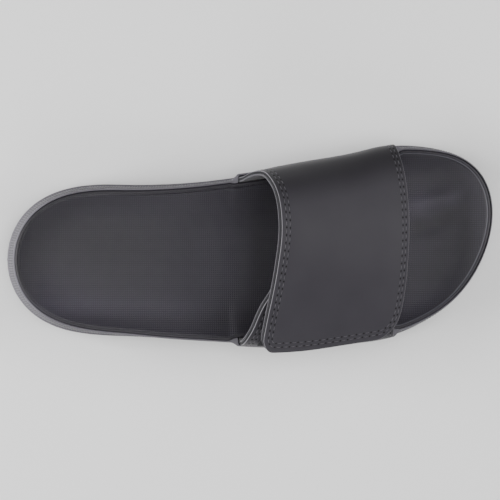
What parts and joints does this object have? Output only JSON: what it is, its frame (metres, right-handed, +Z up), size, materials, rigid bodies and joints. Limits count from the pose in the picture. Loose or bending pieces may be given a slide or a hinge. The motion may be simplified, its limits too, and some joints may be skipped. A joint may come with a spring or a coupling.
{
  "type": "sport slide sandal",
  "caption": "Right foot slide sandal with a ribbed foam sole, a contoured footbed and a wide strap that closes over a shorter one with a hook and loop pad.",
  "frame": {"origin": "on the floor under the sole, at the middle of the bounding box", "axes": "+X from the heel to the toes, +Y towards the big-toe side, +Z up"},
  "size_m": [0.285, 0.1218, 0.0767],
  "materials": {
    "outsole": "matte rubber with fine moulded grain",
    "midsole": "matte foam with fine upright ribs on its side",
    "footbed": "satin moulded foam with a fine embossed grid and a smooth rim",
    "strap_flap": "smooth synthetic leather, stitched in two rows, over foam and a fabric lining",
    "strap_tab": "smooth synthetic leather, stitched in two rows, over foam and a fabric lining",
    "hook_pad": "woven hook tape",
    "loop_pad": "woven loop tape with a soft pile"
  },
  "bodies": {
    "root": {"outsole": "outsole", "midsole": "midsole", "footbed": "footbed", "strap_flap": "strap_flap", "strap_tab": "strap_tab", "hook_pad": "hook_pad", "loop_pad": "loop_pad"}
  },
  "joints": []
}
